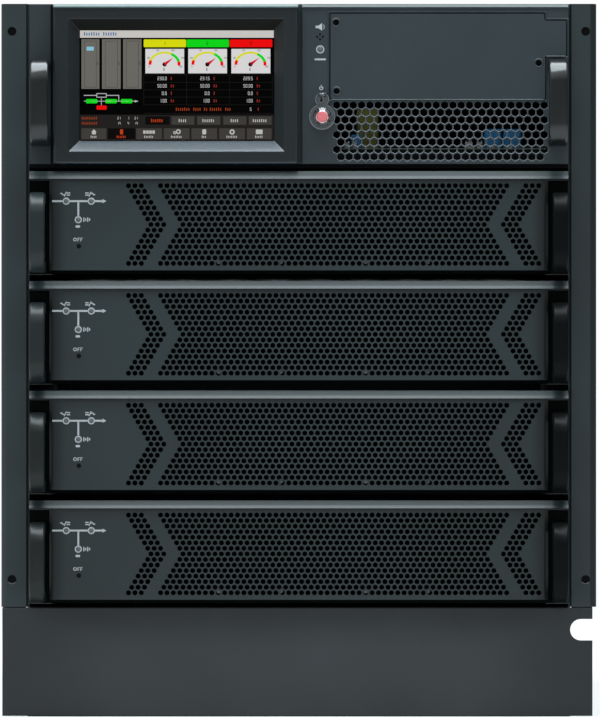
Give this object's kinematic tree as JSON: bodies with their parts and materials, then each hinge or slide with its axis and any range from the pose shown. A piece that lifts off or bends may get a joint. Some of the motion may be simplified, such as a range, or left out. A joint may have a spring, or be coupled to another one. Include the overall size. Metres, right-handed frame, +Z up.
{
  "type": "rack-mounted modular ups cabinet",
  "caption": "Charcoal rack cabinet of an uninterruptible power supply: sliding power modules with perforated fronts and handles below a display and bypass unit.",
  "frame": {"origin": "on the floor, under the middle of the overall box", "axes": "+Z up, +Y to the back, +X to the right seen from the front"},
  "size_m": [0.4826, 0.751, 0.5778],
  "materials": {
    "charcoal_paint": "fine-textured satin",
    "plated_steel": "zinc plated",
    "charcoal_moulding": "satin",
    "screen_glass": "gloss",
    "handle_paint": "satin",
    "black_moulding": "satin",
    "clear_moulding": "clear",
    "red_moulding": "gloss",
    "board_laminate": "satin",
    "blue_case": "satin",
    "yellow_case": "satin",
    "module_paint": "fine-textured satin",
    "module_steel": "zinc plated",
    "fan_plastic": "satin"
  },
  "bodies": {
    "cabinet": {"base_tray": "charcoal_paint", "top_cover": "charcoal_paint", "left_side_panel": "charcoal_paint", "right_side_panel": "charcoal_paint", "rear_panel": "charcoal_paint", "terminal_cover": "charcoal_paint", "left_rack_ear": "charcoal_paint", "right_rack_ear": "charcoal_paint", "lower_front_panel": "charcoal_paint", "unit_front_plate": "charcoal_paint", "bypass_front_panel": "charcoal_paint", "bypass_cover_plate": "charcoal_paint", "lower_shelf": "charcoal_paint", "upper_shelf": "charcoal_paint", "left_guide_rails": "plated_steel", "right_guide_rails": "plated_steel", "display_bezel": "charcoal_moulding", "display_screen": "screen_glass", "unit_handles": "handle_paint", "epo_base": "black_moulding", "circuit_board": "board_laminate", "blue_capacitors": "blue_case", "yellow_capacitor": "yellow_case"},
    "module_1": {"module_1_housing": "module_steel", "module_1_front_panel": "module_paint", "module_1_grille": "module_paint", "module_1_handles": "handle_paint", "module_1_fans": "fan_plastic"},
    "module_2": {"module_2_housing": "module_steel", "module_2_front_panel": "module_paint", "module_2_grille": "module_paint", "module_2_handles": "handle_paint", "module_2_fans": "fan_plastic"},
    "module_3": {"module_3_housing": "module_steel", "module_3_front_panel": "module_paint", "module_3_grille": "module_paint", "module_3_handles": "handle_paint", "module_3_fans": "fan_plastic"},
    "module_4": {"module_4_housing": "module_steel", "module_4_front_panel": "module_paint", "module_4_grille": "module_paint", "module_4_handles": "handle_paint", "module_4_fans": "fan_plastic"},
    "epo_cover": {"epo_cover": "clear_moulding"},
    "epo_button": {"epo_button": "red_moulding"}
  },
  "joints": [
    {"name": "module_1_slide", "type": "slide", "parent": "cabinet", "child": "module_1", "axis": [0, -1, 0], "range_m": [0, 0.45]},
    {"name": "module_2_slide", "type": "slide", "parent": "cabinet", "child": "module_2", "axis": [0, -1, 0], "range_m": [0, 0.45]},
    {"name": "module_3_slide", "type": "slide", "parent": "cabinet", "child": "module_3", "axis": [0, -1, 0], "range_m": [0, 0.45]},
    {"name": "module_4_slide", "type": "slide", "parent": "cabinet", "child": "module_4", "axis": [0, -1, 0], "range_m": [0, 0.45]},
    {"name": "epo_cover_hinge", "type": "hinge", "parent": "cabinet", "child": "epo_cover", "pos_m": [0.0189, -0.3415, 0.5042], "axis": [-1, 0, 0], "range_deg": [0, 110]},
    {"name": "epo_button_press", "type": "slide", "parent": "cabinet", "child": "epo_button", "axis": [0, 1, 0], "range_m": [0, 0.003], "stiffness_N_per_m": 1500}
  ]
}
